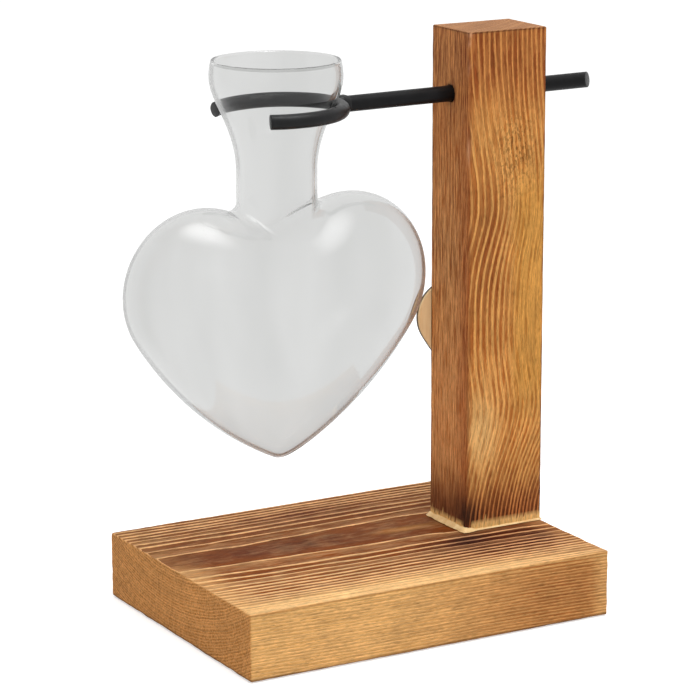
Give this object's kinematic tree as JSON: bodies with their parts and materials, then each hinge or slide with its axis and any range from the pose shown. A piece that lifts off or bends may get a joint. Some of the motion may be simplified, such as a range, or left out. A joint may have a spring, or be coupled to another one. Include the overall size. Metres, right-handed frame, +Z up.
{
  "type": "hanging vase",
  "caption": "Heart-shaped clear glass vase hung by its flared neck in an open steel ring, on a rod that swivels in a torched wooden post and base.",
  "frame": {"origin": "centre of the base board's underside, on the surface that the stand rests on", "axes": "+X along the rod from the ring to the post, +Y towards the side that carries the small wooden heart, +Z up"},
  "size_m": [0.1989, 0.113, 0.215],
  "materials": {
    "base_wood": "softwood, torched and brushed, lightly oiled",
    "post_wood": "softwood, torched and brushed, lightly oiled",
    "glue": "dried wood glue, honey-coloured",
    "plywood": "thin plywood with a burnt edge",
    "black_steel": "satin black paint",
    "screw_steel": "yellow zinc",
    "clear_glass": "clear blown glass"
  },
  "bodies": {
    "stand": {"base_board": "base_wood", "post": "post_wood", "glue_bead": "glue", "foot_screw_inner": "screw_steel", "foot_screw_outer": "screw_steel", "heart_plaque": "plywood"},
    "hanger": {"hanger_rod": "black_steel", "weld_bead": "black_steel", "hanger_ring": "black_steel"},
    "vase": {"glass_vase": "clear_glass"}
  },
  "joints": [
    {"name": "rod_swivel", "type": "hinge", "parent": "stand", "child": "hanger", "pos_m": [0.05835, 0.0028, 0.1911], "axis": [1, 0, 0.0087], "continuous": true},
    {"name": "vase_lift", "type": "slide", "parent": "hanger", "child": "vase", "axis": [0, 0, 1], "range_m": [0, 0.0295]}
  ]
}
